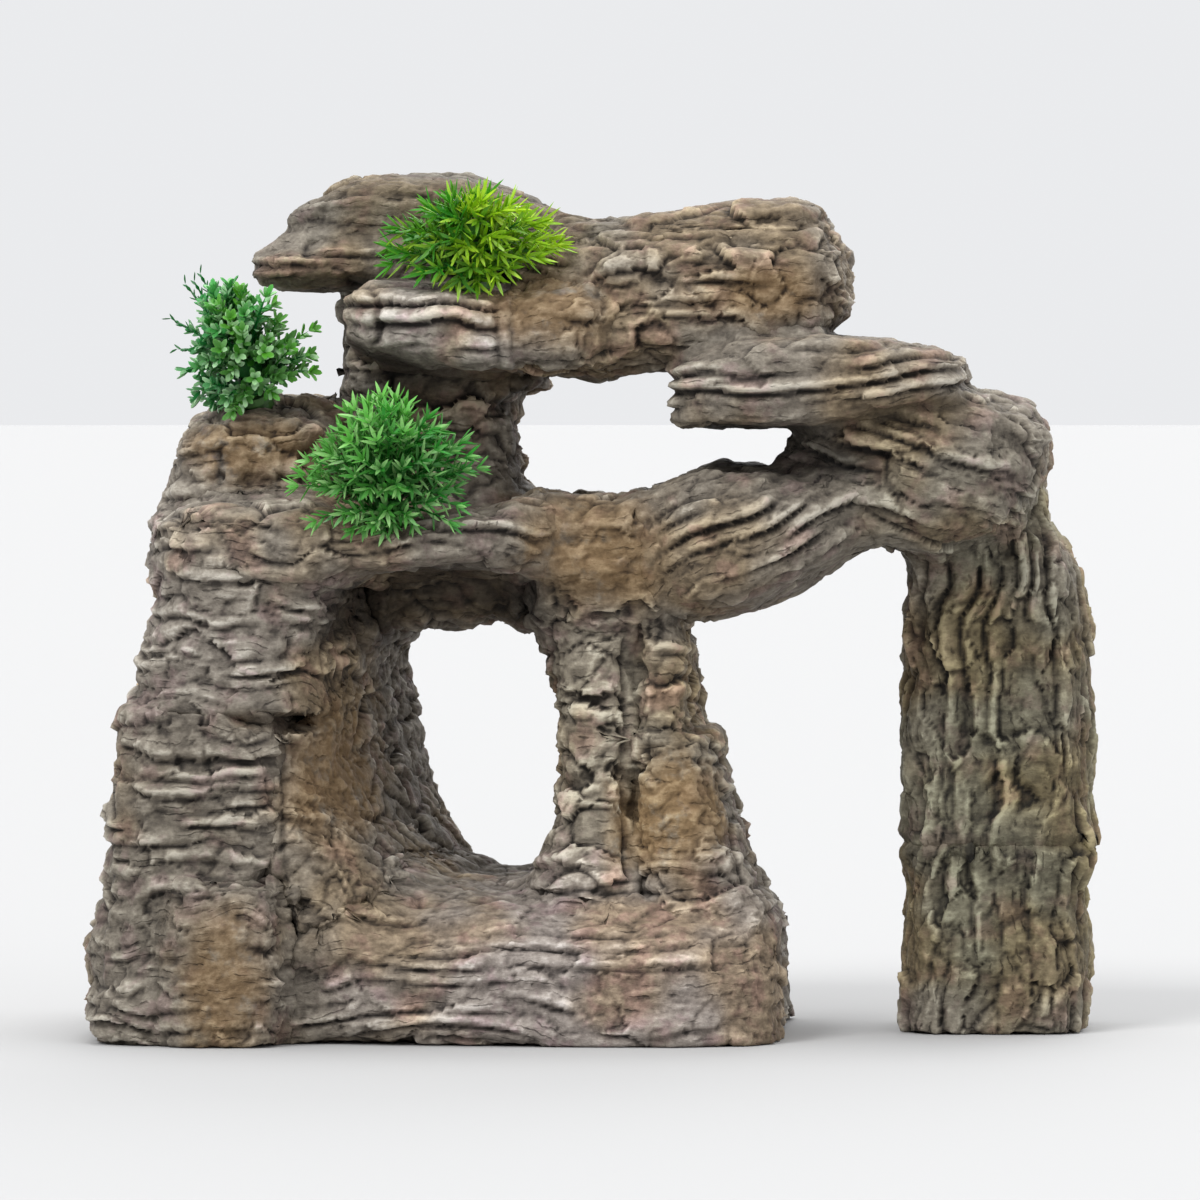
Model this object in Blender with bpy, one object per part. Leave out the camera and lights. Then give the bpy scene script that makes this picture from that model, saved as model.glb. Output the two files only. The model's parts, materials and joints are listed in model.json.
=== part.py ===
"""Resin cave ornament: a tower with a see-through cave, a bridge and an arch, built of rock-like
resin castings bonded along their beds, with three plastic grass tufts that plug into sockets.

Sizes are millimetres, turned into metres when a mesh is made. X runs to the right, Y to the back
and Z up. The origin is on the surface that the ornament stands on, under the middle of its box.
"""

import math

import bmesh
import bpy
from mathutils import Matrix, Vector, noise

MM = 0.001

# Bond line between two castings, and the wall clearance of a plug in its socket.
SEAM = 0.4
PLUG_CLEARANCE = 0.3

# Heights of the beds between the courses of rock.
TOWER_BED = 63
SILL_TOP = 31
PILLAR_BED = 59
LEG_BED = 37
CAVE_ROOF = 81.5
KEYSTONE_UNDER = 84
LEDGE_UNDER = 92
LEDGE_TOP = 106
SHOULDER_TOP = 125.5
BRIDGE_UNDER = 131
BRIDGE_BED = 148
CROWN_BED = 155.5
CROWN_TOP = 169

# Places across the ornament.
TOWER_LEFT = -98.5
CAVE_LEFT = -60
LEDGE_RIGHT = -8
BRIDGE_LEFT = -15
PILLAR_CRACK = 10
LEG_LEFT = 61
LEG_RIGHT = 98.5

# How deep the courses are, front to back.
TOWER_FRONT, TOWER_BACK = -51, 47
BRIDGE_FRONT, BRIDGE_BACK = -30, 30

RING_POINTS = 16
WEATHERING, WEATHER_GRAIN = 1.4, 13  # how far the stone swells and sinks, and how broadly
BLOCK_CORNERS = 4.5  # exponent of the superellipse: 2 is an ellipse, higher is squarer

# A section is (place along the block, then low and high on its two other axes):
# along X the axes are Z and Y, along Y they are X and Z, along Z they are X and Y.
AXES = {"X": "XZY", "Y": "YXZ", "Z": "ZXY"}

TOWER_LOWER = (
    (0, -96, -60.5, -48, 44),
    (7, TOWER_LEFT, -60, TOWER_FRONT, 46),
    (18, TOWER_LEFT, -59, TOWER_FRONT, TOWER_BACK),
    (30, -95, -59, -50, TOWER_BACK),
    (46, -94, -57, -49, 46),
    (TOWER_BED, -93, -55, -46, 45),
)
FOOT_BLOCK = (
    (0, -80, -58, -55, -37),
    (9, -81, -57, -56, -37),
    (22, -80.5, -57.5, -55.5, -37),
    (31, -78.5, -59.5, -53, -38),
)
TOWER_UPPER = (
    (TOWER_BED + SEAM, -89, -51, -45, 43),
    (72, -88, -50, -47, 44),
    (83, -85, -48.5, -48, 44),
    (98, -84, -48, -46, 42),
)
CAVE_JAMB = (
    (22, -72, -29, -43, 41),
    (30, -72, -32, -43, 41),
    (42, -72, -38.5, -44, 41),
    (55, -72, -44, -44, 41),
    (70, -72, -45.5, -44, 41),
    (84, -72, -45, -43, 40),
    (96, -72, -44, -42, 38),
)
JAMB_SPLAY = 0.2  # how much the cave widens towards the front, mm for each mm of depth
CAVE_SILL = (
    (-66, -12, SILL_TOP - 1, -42, 42),
    (-45, -12, SILL_TOP + 3, -47, 45),
    (-22, -12, SILL_TOP, -48, 45),
    (0, -12, SILL_TOP - 2, -48, 44),
    (18, -12, SILL_TOP - 2, -47, 43),
    (32, -12, SILL_TOP - 4, -43, 40),
    (37, -10, SILL_TOP - 8, -37, 36),
)
SILL_CORNERS = 2.8  # the sill is a rounder apron than the other blocks
PILLAR_INNER = (
    (20, -12, PILLAR_CRACK, -34, 28),
    (32, -9.5, PILLAR_CRACK, -33, 27),
    (44, -8, PILLAR_CRACK, -31, 25),
    (58, -5.5, PILLAR_CRACK, -30, 24),
    (70, -7, PILLAR_CRACK, -30, 24),
    (79, -10, PILLAR_CRACK, -30, 24),
    (KEYSTONE_UNDER - SEAM, -12, PILLAR_CRACK, -30, 24),
)
PILLAR_OUTER_UPPER = (
    (PILLAR_BED + SEAM, PILLAR_CRACK - 1, 19.5, -29, 23),
    (70, PILLAR_CRACK - 1, 19.5, -30, 23),
    (KEYSTONE_UNDER - SEAM, PILLAR_CRACK - 1, 17.5, -29, 22),
)
PILLAR_OUTER_LOWER = (
    (20, PILLAR_CRACK - 1, 37, -35, 29),
    (28, PILLAR_CRACK - 1, 34.5, -34, 28),
    (36, PILLAR_CRACK - 1, 29.5, -33, 27),
    (47, PILLAR_CRACK - 1, 26, -32, 26),
    (PILLAR_BED, PILLAR_CRACK - 1, 23.5, -31, 25),
)
CAVE_LINTEL = (
    (-58, CAVE_ROOF + 2, LEDGE_UNDER + 8, -12, 34),
    (-34, CAVE_ROOF - 1, LEDGE_UNDER + 8, -16, 38),
    (-16, CAVE_ROOF, LEDGE_UNDER + 8, -17, 37),
    (0, CAVE_ROOF, LEDGE_UNDER + 8, -15, 34),
)
KEYSTONE = (
    (KEYSTONE_UNDER, -11, 17, -31, 24),
    (92, -10, 14, -36, 26),
    (101, -9, 13, -37, 26),
    (106, -8, 11, -33, 23),
)
LEDGE = (
    (-83, 94, LEDGE_TOP - 4, -37, 36),
    (-74, 90, LEDGE_TOP, -48, 43),
    (-52, 91, LEDGE_TOP, -52, 46),
    (-38, 91, LEDGE_TOP - 4, -51, 45),
    (-24, 92.5, LEDGE_TOP - 2, -49, 44),
    (-12, LEDGE_UNDER, LEDGE_TOP, -44, 38),
    (LEDGE_RIGHT, LEDGE_UNDER + 1, LEDGE_TOP - 1, -39, 33),
)
SHOULDER = (
    (-84, LEDGE_TOP - 6, 117, -20, 34),
    (-80, LEDGE_TOP - 8, 121, -27, 39),
    (-70, LEDGE_TOP - 8, SHOULDER_TOP, -30, 42),
    (-57, LEDGE_TOP - 8, SHOULDER_TOP, -29, 40),
    (-50, LEDGE_TOP - 6, 122, -23, 36),
)
UPPER_COLUMN = (
    (LEDGE_TOP - 8, -56, -14, -12, 38),
    (114, -54, -16, -11, 37),
    (125, -50, -17.5, -10, 36),
    (BRIDGE_UNDER + 8, -50, -17, -9, 36),
)
FRONT_SLAB = (
    (-47.5, 136, 146, -31, -2),
    (-42, 133, BRIDGE_BED, -38, 5),
    (-30, BRIDGE_UNDER, BRIDGE_BED, -41, 7),
    (-20, BRIDGE_UNDER - 0.5, BRIDGE_BED - 0.5, -40, 7),
    (BRIDGE_LEFT - SEAM, BRIDGE_UNDER, BRIDGE_BED - 1, -38, 6),
)
BRIDGE_ROOT = (
    (BRIDGE_LEFT, BRIDGE_UNDER + 0.5, BRIDGE_BED - 1.5, -36, 4),
    (-8, BRIDGE_UNDER - 0.5, BRIDGE_BED - 1, -37, 4),
    (1, BRIDGE_UNDER, BRIDGE_BED - 2, -35, 3),
    (4.5, BRIDGE_UNDER + 2, BRIDGE_BED - 5, -31, 1),
)
NECK = (
    (BRIDGE_UNDER - 4, -51, -12, -4, 36),
    (142, -52, -12, -3, 35),
    (BRIDGE_BED + 3, -50, -14, -3, 33),
)
LIP_SLAB = (
    (-68, 149, 153.5, -13, 20),
    (-60, 147.5, 156, -19, 30),
    (-44, 147.5, 157, -18, 34),
    (-20, BRIDGE_BED, 157, -13, 32),
)
CROWN_SLAB = (
    (-61.5, 156, 162.5, -8, 24),
    (-57, CROWN_BED, 165.5, -13, 32),
    (-49, CROWN_BED, CROWN_TOP, -15, 35),
    (-27, CROWN_BED, CROWN_TOP, -15, 35),
    (-10, CROWN_BED, 163.5, -13, 33),
    (3, CROWN_BED + 1, 160.5, -10, 29),
)
BRIDGE_SLAB = (
    (-14, 132, 156, -22, 27),
    (4, BRIDGE_UNDER - 0.5, 158, BRIDGE_FRONT, 29),
    (17, BRIDGE_UNDER, 158, BRIDGE_FRONT, BRIDGE_BACK),
    (31, 134, 158, -29, BRIDGE_BACK),
    (44, 138, 157.5, -26, 28),
    (49.5, 142, 155, -20, 23),
)
BRIDGE_CAP = (
    (-7, CROWN_BED, 160, -18, 26),
    (8, CROWN_BED, 161, -23, 28),
    (29, CROWN_BED, 164, -24, 28),
    (41, CROWN_BED, 164, -22, 27),
    (45, CROWN_BED + 1, 162, -17, 22),
)
UPPER_ARCH_SLAB = (
    (16.5, 121.5, 131, -30, 16),
    (20, 120, 134.5, -36, 23),
    (30, 119.5, 138.5, -39, 28),
    (45, 119.5, 138, -39, 30),
    (58, 122.5, 136.5, -37, 30),
    (70, 125, 134.5, -33, 27),
    (73, 125.5, 133.5, -29, 23),
)
LOWER_ARCH_SLAB = (
    (11, 86, 107, -33, 23),
    (17, KEYSTONE_UNDER, 110, -37, 28),
    (24, KEYSTONE_UNDER - 1, 112.5, -39, 30),
    (32, KEYSTONE_UNDER, 112.5, -39, 30),
    (44, 90.5, 111.5, -36, 28),
    (52, 95, 109.5, -31, 24),
    (57, 98, 107, -24, 18),
)
ARCH_LOBE = (
    (38, 112, 117, -17, 20),
    (46, 104, 122, -27, 32),
    (58, 97, 126, -32, 38),
    (68, 94, 127, -33, 40),
    (79, 98, 126.5, -30, 40),
    (86, 106, 124.5, -24, 36),
    (89, 111, 120.5, -17, 30),
)
LEG_LOWER = (
    (0, 60, 96, -8, 32),
    (12, 60, 97, -9, 33),
    (25, LEG_LEFT, 96.5, -8, 33),
    (LEG_BED, LEG_LEFT, 96.5, -7, 32),
)
LEG_UPPER = (
    (LEG_BED + SEAM, LEG_LEFT, 96.5, -7, 32),
    (60, LEG_LEFT, 98, -7, 34),
    (80, LEG_LEFT, LEG_RIGHT, -8, 36),
    (91, LEG_LEFT, 95.5, -9, 37),
    (102, 63, 88, -10, 38),
    (113, 66, 84, -8, 37),
)

# A tuft: the rock it plugs into, where its collar seats, the way its stem points, how deep its
# plug goes, how far its leaves reach to the sides, front and back, and how high each ring rises.
TUFTS = {
    "crown_tuft": {
        "rock": "front_slab", "seat": (-22.5, -28.5, 147.2), "points": (0, -0.1, 1), "plug": 11,
        "sides": 17, "front": 13, "back": 7, "rises": (4, 6.5, 9),
    },
    "ledge_tuft": {
        "rock": "ledge_slab", "seat": (-37.5, -42, 102), "points": (0, -0.45, 1), "plug": 6.5,
        "sides": 19, "front": 11, "back": 9, "rises": (8, 12, 16),
    },
    "shoulder_tuft": {
        "rock": "shoulder_block", "seat": (-66, -17, 125), "points": (-0.3, -0.3, 1), "plug": 11,
        "sides": 16, "front": 12, "back": 11, "rises": (5, 9, 13.5),
    },
}
PLUG_RADIUS = 3.0
COLLAR_RADIUS, COLLAR_THICKNESS = 4.4, 1.4
SPINDLE_RADIUS = 1.5
HUB_BORE, HUB_RADIUS, HUB_HEIGHT = 1.8, 3.2, 3.6
LEAF_THICKNESS = 1.1
LEAF_ROOT = 2  # how far up its hub a leaf starts
LEAVES = 9
WHORL_REACH = (1, 0.88, 0.6)

MATERIALS = {
    "resin_rock": ((0.23, 0.20, 0.18), 0.85),
    "dark_leaf": ((0.02, 0.22, 0.03), 0.45),
    "bright_leaf": ((0.15, 0.42, 0.02), 0.45),
    "stem_plastic": ((0.05, 0.16, 0.03), 0.5),
}


def clear_scene():
    for obj in list(bpy.data.objects):
        bpy.data.objects.remove(obj)


def make_materials():
    for name, (colour, roughness) in MATERIALS.items():
        material = bpy.data.materials.new(name)
        material.use_nodes = True
        shader = material.node_tree.nodes["Principled BSDF"]
        shader.inputs["Base Color"].default_value = (*colour, 1)
        shader.inputs["Roughness"].default_value = roughness


def object_from(name, bm, material):
    """An object of this bmesh, whose sizes are millimetres."""
    bmesh.ops.scale(bm, vec=(MM, MM, MM), verts=bm.verts)
    bmesh.ops.recalc_face_normals(bm, faces=bm.faces)
    mesh = bpy.data.meshes.new(name)
    bm.to_mesh(mesh)
    bm.free()
    mesh.materials.append(bpy.data.materials[material])
    obj = bpy.data.objects.new(name, mesh)
    bpy.context.scene.collection.objects.link(obj)
    return obj


def block_ring(section, along, splay, squareness):
    """The corners of one section: a weathered superellipse between its low and high sides."""
    place, low_a, high_a, low_b, high_b = section
    corners = []
    for step in range(RING_POINTS):
        angle = 2 * math.pi * (step + 0.5) / RING_POINTS
        out_a = math.copysign(abs(math.cos(angle)) ** (2 / squareness), math.cos(angle))
        out_b = math.copysign(abs(math.sin(angle)) ** (2 / squareness), math.sin(angle))
        a = (low_a + high_a) / 2 + out_a * (high_a - low_a) / 2
        b = (low_b + high_b) / 2 + out_b * (high_b - low_b) / 2
        a += splay * out_b * (high_b - low_b) / 2
        swell = WEATHERING * noise.noise(Vector((place, a, b)) / WEATHER_GRAIN)
        at = {
            AXES[along][0]: place,
            AXES[along][1]: a + swell * out_a,
            AXES[along][2]: b + swell * out_b,
        }
        corners.append((at["X"], at["Y"], at["Z"]))
    return corners


def skin(bm, rings, closed=False):
    """Faces between each ring of vertices and the next."""
    for lower, upper in zip(rings, rings[1:] + (rings[:1] if closed else [])):
        count = len(lower)
        for i in range(count):
            j = (i + 1) % count
            bm.faces.new((lower[i], lower[j], upper[j], upper[i]))


def level_off(bm):
    """Cuts the block flat where it would reach below the surface that it stands on."""
    cut = bmesh.ops.bisect_plane(
        bm, geom=bm.verts[:] + bm.edges[:] + bm.faces[:], plane_co=(0, 0, 0),
        plane_no=(0, 0, 1), clear_inner=True,
    )
    rim = [item for item in cut["geom_cut"] if isinstance(item, bmesh.types.BMEdge)]
    bmesh.ops.holes_fill(bm, edges=rim, sides=0)


def casting(name, along, sections, splay=0, squareness=BLOCK_CORNERS):
    """A rock-like block that runs through its sections, with a flat bed at each end."""
    bm = bmesh.new()
    rings = [[bm.verts.new(co) for co in block_ring(section, along, splay, squareness)]
             for section in sections]
    skin(bm, rings)
    bm.faces.new(rings[0])
    bm.faces.new(rings[-1])
    if min(v.co.z for v in bm.verts) < 0:
        level_off(bm)
    bmesh.ops.triangulate(bm, faces=bm.faces)
    return object_from(name, bm, "resin_rock")


def cut_away(piece, cutter, name):
    """Takes the cutter's shape out of the piece."""
    cutter.hide_render = True
    cutter.display_type = "WIRE"
    boolean = piece.modifiers.new(name, "BOOLEAN")
    boolean.operation = "DIFFERENCE"
    boolean.object = cutter


def scribe(piece, *neighbours):
    """Shapes a casting to the castings that it is bonded to, less the bond line."""
    for neighbour in neighbours:
        bm = bmesh.new()
        bm.from_mesh(neighbour.data)
        bm.normal_update()
        moves = [(v, v.normal * v.calc_shell_factor() * SEAM * MM) for v in bm.verts]
        for vertex, move in moves:
            vertex.co += move
        mesh = bpy.data.meshes.new(neighbour.name + "_outline")
        bm.to_mesh(mesh)
        bm.free()
        outline = bpy.data.objects.new(neighbour.name + "_outline", mesh)
        bpy.context.scene.collection.objects.link(outline)
        cut_away(piece, outline, "bed_" + neighbour.name)


def turned(name, profile, material, sides=16, reach=None):
    """A closed piece swept round Z from (radius, height) points. reach scales each angle."""
    bm = bmesh.new()
    rings = []
    for step in range(sides):
        angle = 2 * math.pi * step / sides
        out = Vector((math.cos(angle), math.sin(angle), 0))
        stretch = reach(step, angle) if reach else 1
        rings.append([
            bm.verts.new(out * radius * (stretch if far else 1) + Vector((0, 0, height)))
            for radius, height, far in profile
        ])
    skin(bm, rings, closed=True)
    bmesh.ops.remove_doubles(bm, verts=bm.verts, dist=0.01)
    on_axis = [edge for edge in bm.edges if not edge.link_faces]
    bmesh.ops.delete(bm, geom=on_axis, context="EDGES")
    return object_from(name, bm, material)


def solid_profile(*points):
    """A turned piece's profile whose radii stay the same all round."""
    return [(radius, height, False) for radius, height in points]


def seat_frame(tuft):
    """Puts a tuft's own Z on the way its stem points, with its origin where the collar seats."""
    turn = Vector(tuft["points"]).to_track_quat("Z", "Y").to_matrix().to_4x4()
    return Matrix.Translation(Vector(tuft["seat"]) * MM) @ turn


def place(piece, empty, height=0):
    piece.parent = empty
    piece.location = (0, 0, height * MM)


def leaf_reach(tuft):
    """How far the leaves go at each angle: every other point is the gap between two leaves."""
    def reach(step, angle):
        side = tuft["front"] if math.sin(angle) < 0 else tuft["back"]
        far = math.hypot(math.cos(angle) * tuft["sides"], math.sin(angle) * side)
        return far / tuft["sides"] * (1 if step % 2 else 0.62)
    return reach


def whorl_profile(reach, rise):
    """A ring of leaves round a hub that threads on the spindle."""
    return [
        (HUB_BORE, 0, False),
        (HUB_BORE, HUB_HEIGHT, False),
        (HUB_RADIUS, HUB_HEIGHT, False),
        (HUB_RADIUS, LEAF_ROOT, False),
        (reach, rise + LEAF_THICKNESS, True),
        (reach, rise, True),
        (HUB_RADIUS, 0, False),
    ]


def sprig_profile(reach, rise):
    """The top leaves, on a hub with a blind bore for the spindle's end."""
    return [
        (0, HUB_HEIGHT, False),
        (0, HUB_HEIGHT + 1.6, False),
        (HUB_RADIUS, HUB_HEIGHT + 1.2, False),
        (reach, rise + LEAF_THICKNESS, True),
        (reach, rise, True),
        (HUB_RADIUS, 0, False),
        (HUB_BORE, 0, False),
        (HUB_BORE, HUB_HEIGHT, False),
    ]


def make_tuft(name, tuft, rock, leaf_material):
    """A plug, collar and spindle in one, with its whorls and top sprig threaded on."""
    empty = bpy.data.objects.new(name, None)
    bpy.context.scene.collection.objects.link(empty)
    empty.matrix_world = seat_frame(tuft)

    whorls = len(tuft["rises"]) - 1
    pitch = HUB_HEIGHT + SEAM
    first = COLLAR_THICKNESS + SEAM
    spindle_top = first + whorls * pitch + HUB_HEIGHT - SEAM
    stem = turned(name + "_stem", solid_profile(
        (0, -tuft["plug"]), (PLUG_RADIUS - 0.5, -tuft["plug"]), (PLUG_RADIUS, -tuft["plug"] + 1),
        (PLUG_RADIUS, 0), (COLLAR_RADIUS, 0), (COLLAR_RADIUS, COLLAR_THICKNESS),
        (SPINDLE_RADIUS, COLLAR_THICKNESS), (SPINDLE_RADIUS, spindle_top), (0, spindle_top),
    ), "stem_plastic")
    place(stem, empty)

    for number in range(whorls):
        profile = whorl_profile(tuft["sides"] * WHORL_REACH[number], tuft["rises"][number])
        whorl = turned(f"{name}_whorl_{number + 1}", profile, leaf_material,
                       2 * LEAVES, leaf_reach(tuft))
        place(whorl, empty, first + number * pitch)
    profile = sprig_profile(tuft["sides"] * WHORL_REACH[whorls], tuft["rises"][whorls])
    sprig = turned(name + "_sprig", profile, leaf_material, 2 * LEAVES, leaf_reach(tuft))
    place(sprig, empty, first + whorls * pitch)

    bore = PLUG_RADIUS + PLUG_CLEARANCE
    face = COLLAR_RADIUS + 2 * PLUG_CLEARANCE
    socket = turned(name + "_socket", solid_profile(
        (0, -tuft["plug"] - PLUG_CLEARANCE), (bore, -tuft["plug"] - PLUG_CLEARANCE),
        (bore, -PLUG_CLEARANCE), (face, -PLUG_CLEARANCE), (face, 12), (0, 12),
    ), "resin_rock")
    place(socket, empty)
    cut_away(rock, socket, "socket")


def make_tower():
    foot = casting("foot_block", "Z", FOOT_BLOCK)
    lower = casting("tower_lower", "Z", TOWER_LOWER)
    scribe(lower, foot)
    upper = casting("tower_upper", "Z", TOWER_UPPER)
    return foot, lower, upper


def make_cave(foot, tower_lower, tower_upper, ledge, keystone):
    """The sill, the splayed jamb, the lintel and the pillar round the see-through cave."""
    sill = casting("cave_sill", "X", CAVE_SILL, squareness=SILL_CORNERS)
    scribe(sill, foot, tower_lower)
    jamb = casting("cave_jamb", "Z", CAVE_JAMB, splay=JAMB_SPLAY)
    scribe(jamb, foot, tower_lower, tower_upper, sill, ledge)
    lintel = casting("cave_lintel", "X", CAVE_LINTEL)
    scribe(lintel, ledge, tower_upper, jamb, keystone)
    inner = casting("pillar_inner", "Z", PILLAR_INNER)
    scribe(inner, sill, lintel)
    outer_upper = casting("pillar_outer_upper", "Z", PILLAR_OUTER_UPPER)
    scribe(outer_upper, inner)
    outer_lower = casting("pillar_outer_lower", "Z", PILLAR_OUTER_LOWER)
    scribe(outer_lower, inner, sill)
    return outer_upper


def make_upper_tower(ledge):
    """The shoulder and column that stand on the ledge and carry the bridge's left end."""
    shoulder = casting("shoulder_block", "X", SHOULDER)
    scribe(shoulder, ledge)
    column = casting("upper_column", "Z", UPPER_COLUMN)
    front = casting("front_slab", "X", FRONT_SLAB)
    neck = casting("neck_block", "Z", NECK)
    lip = casting("lip_slab", "X", LIP_SLAB)
    crown = casting("crown_slab", "X", CROWN_SLAB)
    scribe(column, ledge, shoulder, front)
    scribe(neck, front, column, lip)
    scribe(lip, front, crown)
    return shoulder, front, neck, lip, crown


def make_bridge(front, neck, lip, crown, upper_arch):
    """The slab that spans the upper window, with its root beside the front slab and its cap."""
    root = casting("bridge_root", "X", BRIDGE_ROOT)
    scribe(root, neck)
    bridge = casting("bridge_slab", "X", BRIDGE_SLAB)
    cap = casting("bridge_cap", "X", BRIDGE_CAP)
    scribe(cap, crown)
    scribe(bridge, front, root, neck, lip, crown, cap, upper_arch)


def make_arch(keystone, pillar):
    """The slabs that spring from the keystone, the lobe that they carry and its leg."""
    lower = casting("lower_arch_slab", "X", LOWER_ARCH_SLAB)
    scribe(lower, keystone, pillar)
    upper = casting("upper_arch_slab", "X", UPPER_ARCH_SLAB)
    lobe = casting("arch_lobe", "X", ARCH_LOBE)
    scribe(lobe, lower, upper)
    leg_upper = casting("arch_leg_upper", "Z", LEG_UPPER)
    scribe(leg_upper, lobe)
    casting("arch_leg_lower", "Z", LEG_LOWER)
    return upper


def centre_over_origin():
    """Moves everything so that the middle of the ornament's box is over the origin."""
    depsgraph = bpy.context.evaluated_depsgraph_get()
    corners = []
    for obj in bpy.data.objects:
        if obj.type == "MESH" and not obj.hide_render:
            shaped = obj.evaluated_get(depsgraph)
            corners += [shaped.matrix_world @ Vector(corner) for corner in shaped.bound_box]
    middle = Vector([(min(c[i] for c in corners) + max(c[i] for c in corners)) / 2
                     for i in range(2)]).to_3d()
    for obj in bpy.data.objects:
        if obj.parent is None:
            obj.matrix_world = Matrix.Translation(-middle) @ obj.matrix_world


def main():
    clear_scene()
    make_materials()
    foot, tower_lower, tower_upper = make_tower()
    ledge = casting("ledge_slab", "X", LEDGE)
    scribe(tower_upper, ledge)
    keystone = casting("keystone", "Z", KEYSTONE)
    scribe(keystone, ledge)
    pillar = make_cave(foot, tower_lower, tower_upper, ledge, keystone)
    shoulder, front, neck, lip, crown = make_upper_tower(ledge)
    upper_arch = make_arch(keystone, pillar)
    make_bridge(front, neck, lip, crown, upper_arch)
    rocks = {"front_slab": front, "ledge_slab": ledge, "shoulder_block": shoulder}
    for name, tuft in TUFTS.items():
        leaf = "bright_leaf" if name == "crown_tuft" else "dark_leaf"
        make_tuft(name, tuft, rocks[tuft["rock"]], leaf)
    centre_over_origin()


main()
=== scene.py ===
"""Looks of the resin cave ornament: weathered, dry-brushed rocks and plastic grass tufts.

Shapes are worked out in millimetres, in the frame of the CAD model: X to the right, Y to the
back, Z up. They turn into metres when a mesh is made. The floor and the camera are in metres.
"""

import json
import math
import random

import bpy
import numpy as np
from mathutils import Matrix, Vector
from mathutils.bvhtree import BVHTree


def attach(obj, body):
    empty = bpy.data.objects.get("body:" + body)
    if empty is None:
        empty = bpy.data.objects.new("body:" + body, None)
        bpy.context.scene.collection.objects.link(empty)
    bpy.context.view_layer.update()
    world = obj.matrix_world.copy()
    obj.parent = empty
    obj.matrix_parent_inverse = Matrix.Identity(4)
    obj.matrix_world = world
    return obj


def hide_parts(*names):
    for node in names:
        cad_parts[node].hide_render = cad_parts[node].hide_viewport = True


MM = 0.001

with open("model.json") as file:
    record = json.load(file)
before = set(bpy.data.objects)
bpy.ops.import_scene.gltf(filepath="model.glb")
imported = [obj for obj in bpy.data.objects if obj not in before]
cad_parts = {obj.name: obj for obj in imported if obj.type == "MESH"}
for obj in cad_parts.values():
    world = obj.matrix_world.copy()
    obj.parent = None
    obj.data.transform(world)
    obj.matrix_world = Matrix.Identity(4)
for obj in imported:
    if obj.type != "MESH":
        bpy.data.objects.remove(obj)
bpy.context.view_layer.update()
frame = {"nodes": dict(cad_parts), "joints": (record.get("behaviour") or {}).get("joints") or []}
scene = bpy.context.scene


# ---------------------------------------------------------------- noise

def lattice(cells, seed):
    """A repeatable number from 0 to 1 for each whole-number place, by a hash of its numbers."""
    cells = cells.astype(np.int64).astype(np.uint32)
    value = (cells[..., 0] * np.uint32(374761393) + cells[..., 1] * np.uint32(668265263)
             + cells[..., 2] * np.uint32(2246822519) + np.uint32(seed * 2654435761 % 2**32))
    value = (value ^ (value >> np.uint32(13))) * np.uint32(1274126177)
    value = (value ^ (value >> np.uint32(16))) * np.uint32(2654435769)
    return (value ^ (value >> np.uint32(15))).astype(np.float64) / 2**32


def smooth_noise(points, size, seed=0):
    """Noise from -1 to 1 whose features are about as large as size, in mm (a number or three)."""
    places = points / size
    base = np.floor(places)
    part = places - base
    part = part * part * part * (part * (part * 6 - 15) + 10)
    total = np.zeros(len(points))
    for corner in range(8):
        step = np.array([corner & 1, corner >> 1 & 1, corner >> 2 & 1])
        share = np.where(step, part, 1 - part).prod(axis=1)
        total += share * lattice(base + step, seed)
    return total * 2 - 1


def rough_noise(points, size, octaves=3, seed=0):
    """Smooth noise with finer and weaker layers on it."""
    total, weight = np.zeros(len(points)), 0.0
    for octave in range(octaves):
        total += smooth_noise(points, np.asarray(size) / 2**octave, seed + octave * 31) / 2**octave
        weight += 0.5**octave
    return total / weight


def plates(points, size, seed):
    """Splits space into uneven plates of about this size, in mm. For each point: how far it is
    from its plate's edge (0 at the edge), a number from -1 to 1 for the plate, and another that
    rises across the plate in a direction of its own."""
    places = points / size
    base = np.floor(places)
    nearest = np.full(len(points), 9.0)
    second = nearest.copy()
    owner = np.zeros_like(points)
    offset = np.zeros_like(points)
    for corner in range(27):
        cell = base + (corner % 3 - 1, corner // 3 % 3 - 1, corner // 9 - 1)
        centre = cell + 0.5 + 0.8 * (np.stack([lattice(cell, seed + i) for i in range(3)], 1) - 0.5)
        away = np.linalg.norm(places - centre, axis=1)
        closer = away < nearest
        second = np.where(closer, nearest, np.minimum(second, away))
        nearest = np.where(closer, away, nearest)
        owner = np.where(closer[:, None], cell, owner)
        offset = np.where(closer[:, None], places - centre, offset)
    slope = np.stack([lattice(owner, seed + i) * 2 - 1 for i in (4, 5, 6)], 1)
    return second - nearest, lattice(owner, seed + 3) * 2 - 1, (offset * slope).sum(axis=1)


def smoothstep(low, high, value):
    part = np.clip((value - low) / (high - low), 0, 1)
    return part * part * (3 - 2 * part)


# ---------------------------------------------------------------- rocks

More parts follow.
